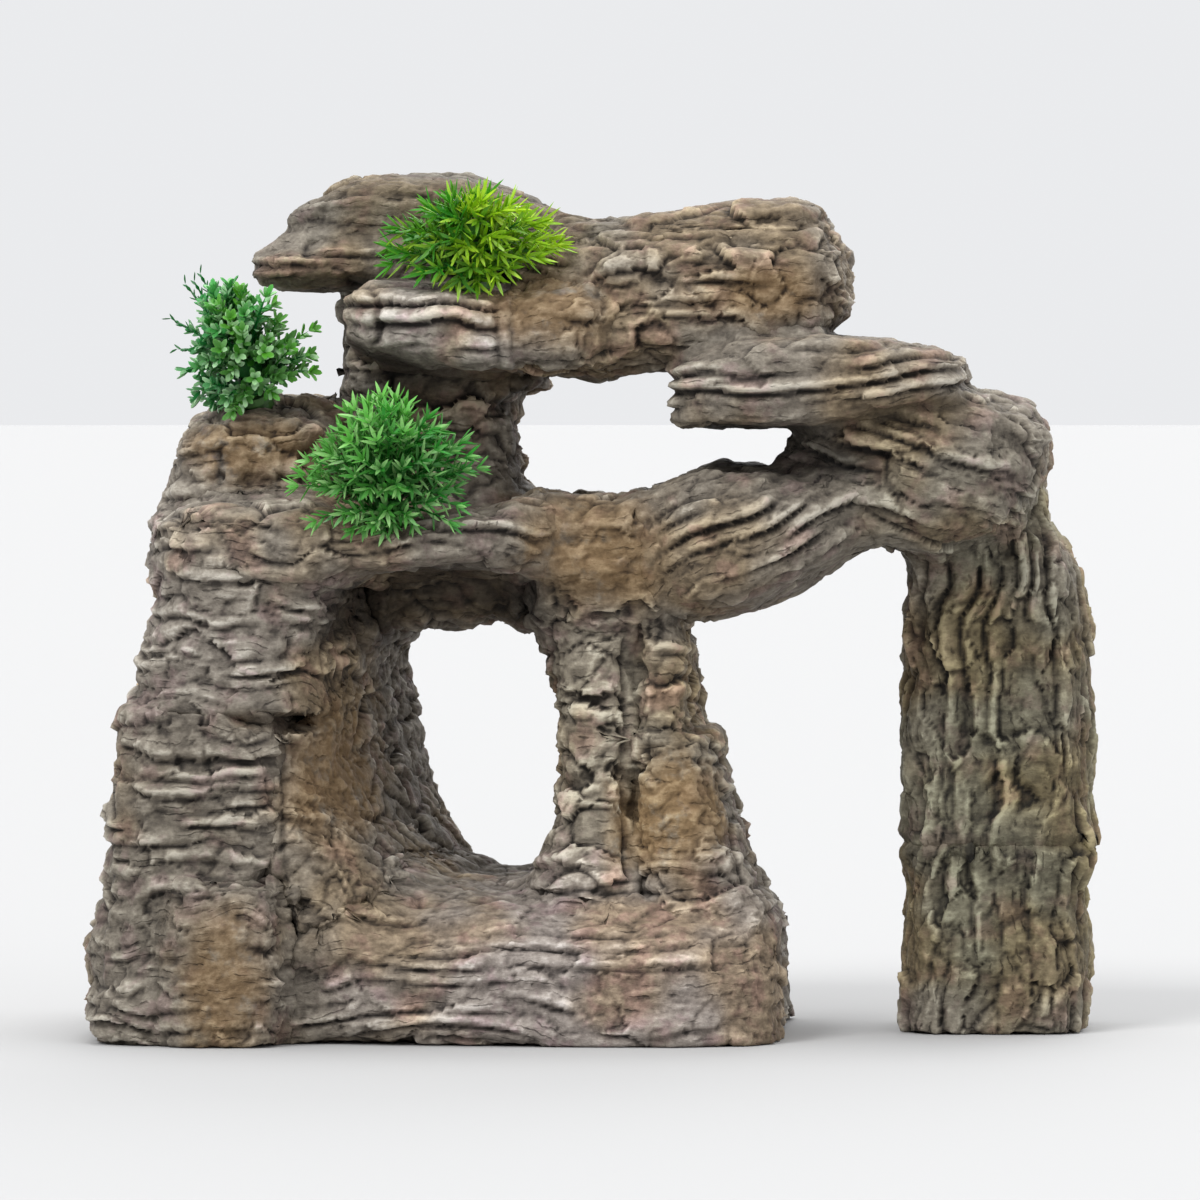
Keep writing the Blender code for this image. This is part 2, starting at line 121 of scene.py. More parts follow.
# How each rock has weathered, in mm. bed is the way its layers lie (their normal), layer how thick
# they are, warp and reach how far and how broadly they wander, flake how far single layers jut
# out, run how long such a flake is, bare how much of the rock has none (less for a lower value),
# crack how deep the grooves under the layers are, plate and chip how large the broken plates are
# (across and thick) and how far they stand out, lump how uneven the whole rock is, grit how
# grainy, and bond how softly it runs into its neighbours. seed picks other flakes. Where axis is
# given, the layers stand upright round it instead, in so many strips.
SLAB = dict(bed=(0, 0, 1), layer=3.0, warp=2.2, reach=18, flake=1.5, crack=1.0, run=16,
            plate=(17, 5), chip=1.0, lump=1.3, grit=0.3, bond=1.5)
BARK = dict(bed=(0, 0, 1), layer=3.3, warp=3.4, reach=13, flake=1.3, crack=0.9, run=11,
            plate=(12, 5), chip=0.9, lump=1.5, grit=0.35, bond=3.2)
BLOCK = dict(bed=(0, 0, 1), layer=5.0, warp=2.0, reach=14, flake=0.9, crack=0.8, run=12,
             plate=(12, 6), chip=1.4, lump=1.4, grit=0.4, bond=2.6)

ROCKS = {
    "foot_block": dict(BARK, flake=0.9, chip=1.1, bond=1.6),
    "tower_lower": dict(BARK),
    "tower_upper": dict(BARK),
    "cave_sill": dict(BARK, layer=3.8, warp=7.0, reach=26, run=18, chip=0.6, bond=4),
    "cave_jamb": dict(BARK, layer=5.0, bed=(0.3, 0, 1), flake=0.9, chip=1.3, bond=4),
    "cave_lintel": dict(BLOCK, bond=4),
    "pillar_inner": dict(BLOCK, layer=4.2),
    "pillar_outer_lower": dict(BLOCK, layer=4.2, bond=0.8),
    "pillar_outer_upper": dict(BLOCK, layer=4.2, bond=0.8),
    "keystone": dict(BLOCK, layer=5.5, flake=0.7, chip=1.2, bond=2.4),
    "ledge_slab": dict(SLAB, layer=3.4, warp=3.4, reach=14, bond=3),
    "shoulder_block": dict(BLOCK, layer=4.6, bond=2.0),
    "upper_column": dict(BLOCK, bond=1.2),
    "neck_block": dict(BLOCK, bond=2.0),
    "front_slab": dict(SLAB, bed=(-0.05, 0, 1), layer=3.8, warp=2.5, reach=13, flake=1.8,
                       crack=1.7, run=34, bare=-0.8, chip=0.4, bond=0.7, seed=3),
    "lip_slab": dict(SLAB, layer=2.6, bond=1.2),
    "crown_slab": dict(SLAB, layer=3.6, flake=1.0, bare=0.05, chip=0.8, bond=1.6, seed=7),
    "bridge_root": dict(BLOCK, layer=4.0, bond=1.8),
    "bridge_slab": dict(SLAB, layer=4.0, warp=2.4, flake=1.0, chip=1.5, plate=(14, 5), bond=2.2),
    "bridge_cap": dict(SLAB, layer=2.6, chip=1.1, bond=1.8),
    "upper_arch_slab": dict(SLAB, bed=(-0.08, 0, 1), layer=3.2, flake=1.7, crack=1.2, run=26,
                            bare=-0.35, chip=0.6, lump=0.8, bond=0.8),
    "lower_arch_slab": dict(SLAB, bed=(-0.5, 0, 1), layer=3.4, warp=3.0, flake=1.8, crack=1.2,
                            chip=0.7, bond=2.2),
    "arch_lobe": dict(SLAB, bed=(0.25, 0, 1), layer=3.4, warp=4.0, bond=1.6),
    "arch_leg_upper": dict(BARK, axis=(79, 18), strips=30, layer=4.2, warp=3.6, run=20, chip=1.1),
    "arch_leg_lower": dict(BARK, axis=(79, 18), strips=30, layer=4.2, warp=3.6, run=20, chip=1.1),
}
GRAIN = 0.75  # how far apart the points of a rock's surface are
SKIN = 0.1  # how far the surface stands out from the CAD rock before it weathers
SWELL = 1.5  # how far a rock swells where it is bonded, so that no gap shows
SHELTER = 0.7  # how much less it weathers there
GROOVE = 0.75  # how high the groove under a layer is

# How the groove between two rocks is filled: a neighbour within SEAM_REACH counts, and the points
# move out in a few passes of at most FILL_STEP, by at most FILL_LIMIT in all. Rocks further apart
# than FAR_APART bond widths don't run together.
SEAM_REACH = 8.0
FILL_PASSES = 4
FILL_STEP = 2.0
FILL_LIMIT = 4.5
FAR_APART = 30

# How open a place is, for the painted shade in recesses, is worked out for one cell of the surface
# at a time, with rays of this reach.
OPEN_CELL = 2.2
OPEN_REACH = 38.0
OPEN_RAYS = 28
GRAZING = 0.05  # rays closer to the surface than this don't count
FADE = 1.5  # the power by which a near rock shuts off more than a far one

# The turn from one ray or bud to the next, and from one stalk to the next, so that none line up.
RAY_TURN = BUD_TURN = 2.4
STALK_TURN = 2.39996

# Broad areas of the rockwork that differ from the rest are soft ellipsoids: where each is centred
# and how far it reaches. These have a brown wash.
WASHES = (
    ((2, -28, 96), (16, 22, 11)),  # keystone
    ((-50, -20, 52), (11, 30, 17)),  # cave_jamb
    ((-69, -44, 14), (11, 16, 16)),  # foot_block
    ((18, -24, 44), (15, 20, 13)),  # pillar_outer_lower
    ((-8, -28, 144), (13, 18, 9)),  # bridge_root
    ((-66, -22, 116), (18, 18, 8)),  # shoulder_block
    ((34, -24, 146), (15, 18, 7)),  # bridge_slab
)

# Faces that are smoother than the rest, with weaker layers.
CALM = (
    ((-46, -20, 138), (6, 20, 11)),  # front_slab, at its left end
    ((-11, -30, 140), (8, 16, 11)),  # bridge_root, beside the front slab
    ((-68, -46, 15), (10, 14, 15)),  # foot_block
    ((-50, -22, 50), (9, 24, 15)),  # cave_jamb
    ((20, -24, 44), (11, 18, 12)),  # pillar_outer_lower
    ((2, -28, 94), (14, 20, 9)),  # keystone
    ((-8, -28, 145), (9, 16, 7)),  # bridge_root, over the window
)

# Upright joints in faces that look to the front: where each is from side to side, how low and how
# high it reaches, and how deep it is.
JOINTS = (
    (-40.5, 130, 148, 1.6),  # front_slab, near its left end
    (-16.5, 131, 146, 1.0),  # front_slab, at its right end
    (-57.5, 34, 62, 1.2),  # tower_lower, beside the jamb
    (8.0, 32, 84, 1.5),  # pillar_inner, beside the pillar's crack
)
JOINT_WIDTH = 0.9

# Painted shade: dark spots in the deep recesses, where shade falls.
SHADES = (
    ((-26, -22, 86), (24, 26, 10)),  # the cave's roof, under the ledge
    ((-45, -16, 84), (13, 30, 9)),  # cave_jamb, at its top
    ((47, -26, 113), (15, 16, 5)),  # arch_lobe, between the two arch slabs
    ((-40, -16, 128), (15, 20, 9)),  # upper_column, under the front slab
)

# How the colour's red, green and blue are multiplied in some broad areas; on the leg, this is
# painted shade.
TONES = (
    ((2, -30, 12), (48, 60, 22), (1.46, 1.46, 1.62)),  # cave_sill
    ((6, -10, 58), (22, 50, 28), (1.28, 1.28, 1.20)),  # the pillar
    ((-30, -26, 140), (20, 24, 13), (1.40, 1.44, 1.56)),  # front_slab
    ((-74, -5, 86), (28, 50, 26), (1.18, 1.20, 1.26)),  # tower_upper
    # painted shade: the leg is darker and greener
    ((82, 18, 45), (28, 50, 58), (0.70, 0.74, 0.62)),  # the leg
    ((-28, 12, 164), (42, 46, 11), (0.76, 0.78, 0.78)),  # crown_slab
    ((68, 8, 108), (28, 50, 20), (0.84, 0.86, 0.82)),  # arch_lobe
    ((-82, 5, 28), (26, 66, 38), (0.82, 0.82, 0.80)),  # tower_lower
)


def fine_copy(node):
    """A piece with the CAD rock's shape in an even, fine mesh."""
    coarse = frame["nodes"][node].data.copy()
    piece = bpy.data.objects.new(node + "_rock", coarse)
    scene.collection.objects.link(piece)
    remesh = piece.modifiers.new("grain", "REMESH")
    remesh.mode = "VOXEL"
    remesh.voxel_size = GRAIN * MM
    shaped = piece.evaluated_get(bpy.context.evaluated_depsgraph_get())
    fine = bpy.data.meshes.new_from_object(shaped)
    piece.modifiers.clear()
    piece.data = fine
    bpy.data.meshes.remove(coarse)
    return piece


def read_points(mesh):
    points = np.empty(len(mesh.vertices) * 3)
    mesh.vertices.foreach_get("co", points)
    return points.reshape(-1, 3) / MM


def write_points(mesh, points):
    mesh.vertices.foreach_set("co", (points * MM).ravel())
    mesh.update()


def read_normals(mesh):
    normals = np.empty(len(mesh.vertices) * 3)
    mesh.vertex_normals.foreach_get("vector", normals)
    return normals.reshape(-1, 3)


class Relaxer:
    """Averages values over each point's neighbours."""

    def __init__(self, mesh):
        edges = np.empty(len(mesh.edges) * 2, dtype=np.int64)
        mesh.edges.foreach_get("vertices", edges)
        self.ends = edges.reshape(-1, 2)
        self.count = np.bincount(edges, minlength=len(mesh.vertices)).clip(1)

    def __call__(self, values, passes, share=0.5):
        a, b = self.ends.T
        for _ in range(passes):
            columns = values.reshape(len(values), -1).T
            mean = np.array([
                (np.bincount(a, column[b], len(values)) + np.bincount(b, column[a], len(values)))
                / self.count for column in columns
            ]).T.reshape(values.shape)
            values = values + share * (mean - values)
        return values


def bed_frame(bed):
    """Turns points so that their third axis is square to the layers."""
    up = np.array(bed, dtype=float)
    up /= np.linalg.norm(up)
    side = np.cross((0, 1, 0), up)
    side /= np.linalg.norm(side)
    return np.stack([side, np.cross(up, side), up])


def laid_round(points, look):
    """Places in a rock whose layers stand upright round an axis, as in bark, with their seam at
    the back."""
    spoke = points[:, :2] - look["axis"]
    turn = np.arctan2(spoke[:, 0], -spoke[:, 1]) / math.tau
    around = turn * look["strips"] * look["layer"]
    return np.stack([np.linalg.norm(spoke, axis=1), points[:, 2], around], 1), 1.0


def weather(points, normals, look):
    """How far each point of a rock stands out in mm, and how many layers up it is."""
    seed = look.get("seed", 0) * 1000
    if "axis" in look:
        laid, side = laid_round(points, look)
    else:
        turn_to_bed = bed_frame(look["bed"])
        laid = points @ turn_to_bed.T
        side = 1 - 0.75 * (normals @ turn_to_bed[2]) ** 2
    wander = np.stack([rough_noise(points, look["reach"], 2, 10 + i) for i in range(3)], 1)
    laid = laid + wander * look["warp"]
    height = laid[:, 2] / look["layer"]
    layer = np.floor(height)
    part = height - layer
    flat = laid * (1, 1, 0)

    def jut(which):
        """How strongly a layer juts out here: nothing between its flakes."""
        shifted = flat + np.outer(which * 37.7, (1, 0.7, 0.4))
        size = look["run"]
        broken = smooth_noise(shifted, size, seed + 20)
        broken += 0.4 * smooth_noise(shifted, size * 0.3, seed + 21)
        return smoothstep(look.get("bare", -0.2), look.get("bare", -0.2) + 0.8, broken)

    here, above = jut(layer), jut(layer + 1)
    # a layer swells quickly over its groove and tapers off to the groove under the next one
    slope = smoothstep(0.0, 0.25, part) * (1 - part) ** 0.8
    under = np.exp(-((1 - part) * look["layer"] / GROOVE) ** 2)

    # broken plates, and smaller ones on them, with a split round each
    broad, thin = look["plate"]
    jog = laid + 1.4 * np.stack([smooth_noise(points, 5.0, 40 + i) for i in range(3)], 1)
    rim, lift, tilt = plates(jog, (broad, broad, thin), 50)
    small_rim, small_lift, small_tilt = plates(jog, (broad * 0.4, broad * 0.4, thin * 0.45), 60)
    split = 1 - smoothstep(0.0, 0.16, rim)
    small_split = 1 - smoothstep(0.0, 0.22, small_rim)

    rough = 1 - 0.8 * spot_strength(points, CALM)
    out = look["lump"] * rough_noise(points, 19, 2, 12)
    out += rough * side * look["flake"] * (1.25 * here * slope - 0.35)
    out -= rough * side * look["crack"] * above * under
    out += rough * look["chip"] * (0.5 * lift + 1.0 * tilt - 0.5 * split)
    out += look["chip"] * (0.2 * small_lift + 0.3 * small_tilt - 0.15 * small_split)
    out += look["grit"] * rough_noise(points, 2.2, 2, 17)

    x, z = points[:, 0] + 1.2 * smooth_noise(points, 7.0, 70), points[:, 2]
    front = smoothstep(-0.2, -0.7, normals[:, 1])
    for across, low, high, depth in JOINTS:
        along = smoothstep(low - 2, low + 1, z) * smoothstep(high + 2, high - 1, z)
        out -= depth * front * along * np.exp(-((x - across) / JOINT_WIDTH) ** 2)
    return out, height


class Bonds:
    """The CAD rocks as solids, to run each one softly into those beside it."""

    def __init__(self):
        self.trees, self.boxes = {}, {}
        for node in ROCKS:
            mesh = frame["nodes"][node].data
            corners = [v.co / MM for v in mesh.vertices]
            self.trees[node] = BVHTree.FromPolygons(corners, [f.vertices for f in mesh.polygons])
            spread = np.array(corners)
            self.boxes[node] = spread.min(axis=0) - SEAM_REACH, spread.max(axis=0) + SEAM_REACH

    def distances(self, node, points):
        """How far outside a rock each point is, and the way straight out of the rock."""
        away = np.full(len(points), np.inf)
        ways = np.zeros_like(points)
        low, high = self.boxes[node]
        tree = self.trees[node]
        for i in np.nonzero(((points > low) & (points < high)).all(axis=1))[0]:
            point = Vector(points[i])
            found, normal, _, distance = tree.find_nearest(point, SEAM_REACH)
            if found is not None and distance > 1e-6:
                way = (point - found) / distance
                outside = 1 if (point - found).dot(normal) > 0 else -1
                away[i] = outside * distance
                ways[i] = way * outside
        return away, ways

    def run_in(self, node, points):
        """Moves the points near a neighbour out to the surface that fills the groove between, and
        gives how deep each lies in the bond, from 0 to 1."""
        low, high = self.boxes[node]
        beside = [other for other in ROCKS if other != node
                  and (self.boxes[other][0] < high).all() and (self.boxes[other][1] > low).all()]
        first = points.copy()
        for _ in range(FILL_PASSES):
            own, own_ways = self.distances(node, points)
            level, slope = own.copy(), own_ways.copy()
            for other in beside:
                soft = min(ROCKS[node]["bond"], ROCKS[other]["bond"])
                away, ways = self.distances(other, points)
                near = np.isfinite(away)
                apart = np.full(len(points), -FAR_APART, dtype=float)
                apart[near] = np.clip((own[near] - away[near]) / soft, -FAR_APART, FAR_APART)
                share = 1 / (1 + np.exp(-apart))
                level -= soft * np.log1p(np.exp(apart))
                slope += share[:, None] * (ways - own_ways)
            steep = np.linalg.norm(slope, axis=1)
            sure = smoothstep(0.25, 0.6, steep)
            gap = np.where(np.isfinite(level), np.clip(-level, 0, FILL_STEP), 0.0)
            points = points + (slope / steep.clip(0.3)[:, None]) * (gap * sure)[:, None]
        moved = points - first
        size = np.linalg.norm(moved, axis=1)
        bonded = smoothstep(0.95, 0.5, steep) * (level < 0)
        return first + moved * np.minimum(1, FILL_LIMIT / size.clip(1e-6))[:, None], bonded


def make_shade_tree():
    """All the CAD rocks in one tree, to see how deep in a recess a point is."""
    points, faces = [], []
    for node in ROCKS:
        mesh = frame["nodes"][node].data
        faces += [[v + len(points) for v in face.vertices] for face in mesh.polygons]
        points += [v.co for v in mesh.vertices]
    return BVHTree.FromPolygons(points, faces)


def sphere_ways(count):
    """Ways spread evenly over a sphere."""
    ways = []
    for i, z in enumerate(np.linspace(-0.96, 0.96, count)):
        level = math.sqrt(1 - z * z)
        ways.append(Vector((math.cos(RAY_TURN * i) * level, math.sin(RAY_TURN * i) * level, z)))
    return ways


def openness(points, normals, tree):
    """How much of the open space round each point is free of rock, from 0 to 1."""
    cells, owner = np.unique(np.floor(points / OPEN_CELL).astype(int), axis=0, return_inverse=True)
    owner = owner.ravel()
    count = np.bincount(owner)[:, None]

    def mean(values):
        return np.stack([np.bincount(owner, column) for column in values.T], 1) / count

    reach = OPEN_REACH * MM
    rays = sphere_ways(OPEN_RAYS)
    free = np.empty(len(cells))
    for i, (place, way) in enumerate(zip(mean(points), mean(normals))):
        way = Vector(way).normalized()
        start = Vector(place) * MM + way * OPEN_CELL * MM
        total = clear = 0.0
        for ray in rays:
            weight = ray.dot(way)
            if weight > GRAZING:
                total += weight
                hit = tree.ray_cast(start, ray, reach)
                clear += weight if hit[0] is None else weight * (hit[3] / reach) ** FADE
        free[i] = clear / total if total else 1.0
    return free[owner]


def set_attribute(mesh, name, values):
    if values.ndim == 1:
        attribute = mesh.attributes.new(name, "FLOAT", "POINT")
        attribute.data.foreach_set("value", values.astype(np.float32))
    else:
        attribute = mesh.attributes.new(name, "FLOAT_VECTOR", "POINT")
        attribute.data.foreach_set("vector", values.astype(np.float32).ravel())


def spot_strength(points, spots):
    """How strongly each point is marked, from 0 to 1, by any of some soft-edged spots, which are
    used for brown stains, smoother faces and painted shade.
    """
    strength = np.zeros(len(points))
    ragged = 0.35 * rough_noise(points, 9, 2, 77)
    for centre, reach in spots:
        away = np.linalg.norm((points - centre) / reach, axis=1)
        strength = np.maximum(strength, smoothstep(1.25, 0.35, away + ragged))
    return strength


def tone_and_painted_shade(points):
    """By what the colour's red, green and blue are multiplied at each point, painted shade on the
    leg included.
    """
    tone = np.ones((len(points), 3))
    ragged = 0.3 * rough_noise(points, 15, 2, 78)
    for centre, reach, factors in TONES:
        away = np.linalg.norm((points - centre) / reach, axis=1)
        tone *= np.power(factors, smoothstep(1.35, 0.45, away + ragged)[:, None])
    return tone


def make_rock(node, look, material, bonds, shade_tree):
    """The weathered look of one CAD rock, with what its paint needs to know at each point."""
    piece = fine_copy(node)
    mesh = piece.data
    relax = Relaxer(mesh)
    points, bonded = bonds.run_in(node, relax(read_points(mesh), 2))
    points, bonded = relax(points, 1), relax(bonded, 2)
    write_points(mesh, points)
    normals = relax(read_normals(mesh), 3)
    normals /= np.linalg.norm(normals, axis=1).clip(1e-6)[:, None]
    out, height = weather(points, normals, look)
    out *= 1 - SHELTER * bonded
    moved = points + normals * (out + SKIN + SWELL * bonded)[:, None]
    moved[:, 2] = np.maximum(moved[:, 2], 0)
    write_points(mesh, moved)
    mesh.polygons.foreach_set("use_smooth", [True] * len(mesh.polygons))

    # how far a point stands out from what is close round it, and from what is further round it
    relief = 1.3 * (out - relax(out, 3)) + 0.7 * (out - relax(out, 40))
    set_attribute(mesh, "relief", relief)
    set_attribute(mesh, "height", height)
    # how open each point is, for painted shade in recesses
    set_attribute(mesh, "open", relax(openness(points, normals, shade_tree), 8))
    set_attribute(mesh, "wash", spot_strength(points, WASHES))
    # painted shade in the SHADES spots
    set_attribute(mesh, "shade", spot_strength(points, SHADES))
    set_attribute(mesh, "tone_and_painted_shade", tone_and_painted_shade(points))
    mesh.materials.clear()
    mesh.materials.append(material)
    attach(piece, "rockwork")
    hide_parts(node)


# ---------------------------------------------------------------- materials

# The paint from its dark crevices to its dry-brushed ridges: how light the tone is, and the
# colour there.
GREY_PAINT = (
    (0.0, (0.016, 0.013, 0.011)),
    (0.22, (0.055, 0.046, 0.040)),
    (0.42, (0.135, 0.115, 0.098)),
    (0.62, (0.245, 0.215, 0.185)),
    (0.84, (0.47, 0.43, 0.385)),
)
BROWN_PAINT = (
    (0.05, (0.035, 0.019, 0.009)),
    (0.45, (0.175, 0.108, 0.052)),
    (0.9, (0.42, 0.30, 0.18)),
)
# Colours which the paint's colour is multiplied by: thin glazes, and the dark colours of painted
# shade.
OCHRE_GLAZE = (1.0, 0.87, 0.68)
PURPLE_GLAZE = (1.0, 0.88, 0.96)
WARM_GLAZE = (1.0, 1.0, 0.93)
# painted shade: the colour that the paint deep in recesses is multiplied by
PAINTED_RECESS_SHADE = (0.05, 0.045, 0.04)
# painted shade: the colour that leaves deep inside a tuft are multiplied by
PAINTED_LEAF_SHADE = (0.14, 0.32, 0.26)
MOTTLE_GLAZE = (0.55, 0.7, 0.5)
STEM_GREENS = (0.035, 0.10, 0.02), (0.06, 0.17, 0.03)
LEAF_GLOW = 0.8  # how far light spreads inside a leaf, in mm


class Nodes:
    """Short names for the shader nodes that the materials are made of."""

    def __init__(self, name):
        self.material = bpy.data.materials.new(name)
        self.material.use_nodes = True
        self.tree = self.material.node_tree
        self.shader = self.tree.nodes["Principled BSDF"]

    def link(self, source, target):
        if isinstance(source, (int, float)):
            target.default_value = source
        elif isinstance(source, tuple):
            target.default_value = (*source, 1) if len(target.default_value) == 4 else source
        else:
            self.tree.links.new(source, target)

    def attribute(self, name, output="Fac"):
        node = self.tree.nodes.new("ShaderNodeAttribute")
        node.attribute_name = name
        return node.outputs[output]

    def place(self):
        return self.tree.nodes.new("ShaderNodeTexCoord").outputs["Object"]

    def noise(self, size, detail=4, rough=0.6, stretch=(1, 1, 1)):
        """Noise from 0 to 1 with features of about this size in mm."""
        mapping = self.tree.nodes.new("ShaderNodeMapping")
        mapping.inputs["Scale"].default_value = stretch
        self.link(self.place(), mapping.inputs["Vector"])
        node = self.tree.nodes.new("ShaderNodeTexNoise")
        node.inputs["Scale"].default_value = 1 / (size * MM)
        node.inputs["Detail"].default_value = detail
        node.inputs["Roughness"].default_value = rough
        self.link(mapping.outputs["Vector"], node.inputs["Vector"])
        return node.outputs["Fac"]

    def math(self, kind, a, b=0.0, clamp=False):
        node = self.tree.nodes.new("ShaderNodeMath")
        node.operation = kind
        node.use_clamp = clamp
        self.link(a, node.inputs[0])
        self.link(b, node.inputs[1])
        return node.outputs[0]

    def between(self, value, low, high, to_low=0.0, to_high=1.0):
        node = self.tree.nodes.new("ShaderNodeMapRange")
        node.interpolation_type = "SMOOTHSTEP"
        self.link(value, node.inputs["Value"])
        for name, number in (("From Min", low), ("From Max", high),
                             ("To Min", to_low), ("To Max", to_high)):
            node.inputs[name].default_value = number
        return node.outputs["Result"]

    def mix(self, share, a, b, kind="MIX"):
        node = self.tree.nodes.new("ShaderNodeMix")
        node.data_type = "RGBA"
        node.blend_type = kind
        self.link(share, node.inputs["Factor"])
        self.link(a, node.inputs["A"])
        self.link(b, node.inputs["B"])
        return next(o for o in node.outputs if o.name == "Result" and o.type == "RGBA")

    def ramp(self, value, *stops):
        node = self.tree.nodes.new("ShaderNodeValToRGB")
        elements = node.color_ramp.elements
        while len(elements) < len(stops):
            elements.new(0.5)
        for element, (place, colour) in zip(elements, stops):
            element.position = place
            element.color = (*colour, 1)
        self.link(value, node.inputs["Fac"])
        return node.outputs["Color"]

    def bump(self, height, depth, strength=1.0, below=None):
        node = self.tree.nodes.new("ShaderNodeBump")
        node.inputs["Distance"].default_value = depth * MM
        node.inputs["Strength"].default_value = strength
        self.link(height, node.inputs["Height"])
        if below is not None:
            self.link(below, node.inputs["Normal"])
        return node.outputs["Normal"]


def rock_material():
    """Grey-brown paint with dark crevices, pale dry-brushed ridges and brown washes."""
    n = Nodes("painted_rock")
    relief = n.attribute("relief")
    fine = n.noise(1.1, 4, 0.6)
    flecks = n.noise(2.2, 4, 0.62, (0.55, 0.55, 1.3))
    mid = n.noise(7, 3)
    broad = n.noise(28, 2)
    # thin lines between the layers, finer than the mesh can hold
    height = n.attribute("height")
    phase = n.math("FRACT", n.math("ADD", n.math("MULTIPLY", height, 2.0),
                                   n.math("MULTIPLY", n.noise(6, 3), 1.8)))
    line = n.math("ABSOLUTE", n.math("SUBTRACT", phase, 0.5))
    joint = n.between(line, 0.36, 0.5)
    joint = n.math("MULTIPLY", joint, n.between(n.noise(5, 2, 0.5, (1, 1, 2)), 0.5, 0.66))

    tone = n.math("ADD", n.math("MULTIPLY", relief, 0.30), 0.46)
    tone = n.math("ADD", tone, n.math("MULTIPLY", n.math("SUBTRACT", fine, 0.5), 0.40))
    tone = n.math("ADD", tone, n.math("MULTIPLY", n.math("SUBTRACT", flecks, 0.5), 0.60))
    tone = n.math("SUBTRACT", tone, n.math("MULTIPLY", joint, 0.16), clamp=True)
    grey = n.ramp(tone, *GREY_PAINT)
    ochre = n.mix(1.0, grey, OCHRE_GLAZE, "MULTIPLY")
    colour = n.mix(n.between(broad, 0.44, 0.62), grey, ochre)
    purple = n.mix(1.0, colour, PURPLE_GLAZE, "MULTIPLY")
    colour = n.mix(n.between(mid, 0.5, 0.66), colour, purple)
    wash = n.math("MULTIPLY", n.attribute("wash"), n.between(n.noise(5, 4), 0.26, 0.50))
    brown = n.ramp(tone, *BROWN_PAINT)
    colour = n.mix(n.math("MULTIPLY", wash, 0.85), colour, brown)
    # broad tones, and painted shade on the leg
    colour = n.mix(1.0, colour, n.attribute("tone_and_painted_shade", "Vector"), "MULTIPLY")
    colour = n.mix(1.0, colour, WARM_GLAZE, "MULTIPLY")
    # Painted shade: the paint is darkened where little of the open space round a point is free of
    # rock
    recess = n.between(n.attribute("open"), 0.10, 0.75, 0.38, 1.0)
    # painted shade: darker still in the SHADES spots
    recess = n.math("MULTIPLY", recess, n.between(n.attribute("shade"), 0.0, 1.0, 1.0, 0.22))
    colour = n.mix(recess, n.mix(1.0, colour, PAINTED_RECESS_SHADE, "MULTIPLY"), colour)
    n.link(colour, n.shader.inputs["Base Color"])
    n.link(n.between(tone, 0.2, 0.8, 0.85, 0.62), n.shader.inputs["Roughness"])
    n.shader.inputs["Specular IOR Level"].default_value = 0.35
    grains = n.bump(fine, 0.45, 0.8)
    layered = n.bump(n.math("SUBTRACT", 1.0, joint), 0.4, 0.8, grains)
    n.link(n.bump(flecks, 0.7, 0.6, layered), n.shader.inputs["Normal"])
    return n.material


def leaf_material(name, left, right, fresh):
    """Moulded plastic leaves: one green at the tuft's left, another at its right, and a fresh
    one on some of the leaves."""
    n = Nodes(name)
    side = n.attribute("side")
    colour = n.mix(n.between(side, 0.38, 0.72), left, right)
    # Painted shade: leaves deep inside the tuft, where lit is low, are darker
    dark = n.mix(1.0, colour, PAINTED_LEAF_SHADE, "MULTIPLY")
    colour = n.mix(n.between(n.attribute("lit"), 0.0, 1.0), dark, colour)
    pale = n.mix(0.62, colour, fresh)
    tips = n.math("MULTIPLY", n.between(n.attribute("tip"), -0.6, 0.9), n.attribute("fresh"))
    colour = n.mix(tips, colour, pale)
    mottle = n.noise(1.2, 3)
    colour = n.mix(n.between(mottle, 0.35, 0.7, 0.0, 0.3), colour,
                   n.mix(1.0, colour, MOTTLE_GLAZE, "MULTIPLY"))
    n.link(colour, n.shader.inputs["Base Color"])
    n.link(n.between(mottle, 0.3, 0.7, 0.30, 0.46), n.shader.inputs["Roughness"])
    n.shader.inputs["Specular IOR Level"].default_value = 0.28
    n.shader.inputs["Subsurface Weight"].default_value = 0.12
    n.shader.inputs["Subsurface Radius"].default_value = (0.4, 1.0, 0.2)
    n.shader.inputs["Subsurface Scale"].default_value = LEAF_GLOW * MM
    n.link(n.bump(n.noise(0.5, 2), 0.06, 0.6), n.shader.inputs["Normal"])
    return n.material


def stem_material():
    """Moulded dark green plastic."""
    n = Nodes("stem_plastic_look")
    colour = n.mix(n.between(n.noise(2.5, 3), 0.35, 0.65), *STEM_GREENS)
    n.link(colour, n.shader.inputs["Base Color"])
    n.link(n.between(n.noise(1.0, 3), 0.3, 0.7, 0.38, 0.55), n.shader.inputs["Roughness"])
    n.link(n.bump(n.noise(0.4, 2), 0.05, 0.5), n.shader.inputs["Normal"])
    return n.material


# ---------------------------------------------------------------- tufts

SPINDLE = 13.0  # from the collar's seat to the spindle's end
HUBS = (1.8, 5.8, 9.8)  # how far up the spindle each hub starts
HUB_BORE, HUB_RADIUS, HUB_HEIGHT = 1.8, 3.0, 3.4
HUB_SIDES, HUB_BEVEL = 20, 0.4

STALK_RADIUS, BARE_RADIUS = 0.3, 0.35
STALK_ROOT = 0.5  # how deep a stalk starts inside its hub
STALK_PARTS = 5  # the straight lengths that a stalk is made of
PAIR_TURN = 1.7  # from one pair of leaves to the next
ROSETTE = 5  # the leaves at a stalk's end
BUDS = 7  # the buds at a bare stalk's end

# A leaf's cross-section: how far its edges rise, in half widths, and how far its midrib rises and
# its keel hangs, in widths.
EDGE_RISE, RIB_RISE, KEEL = 0.35, 0.12, 0.16

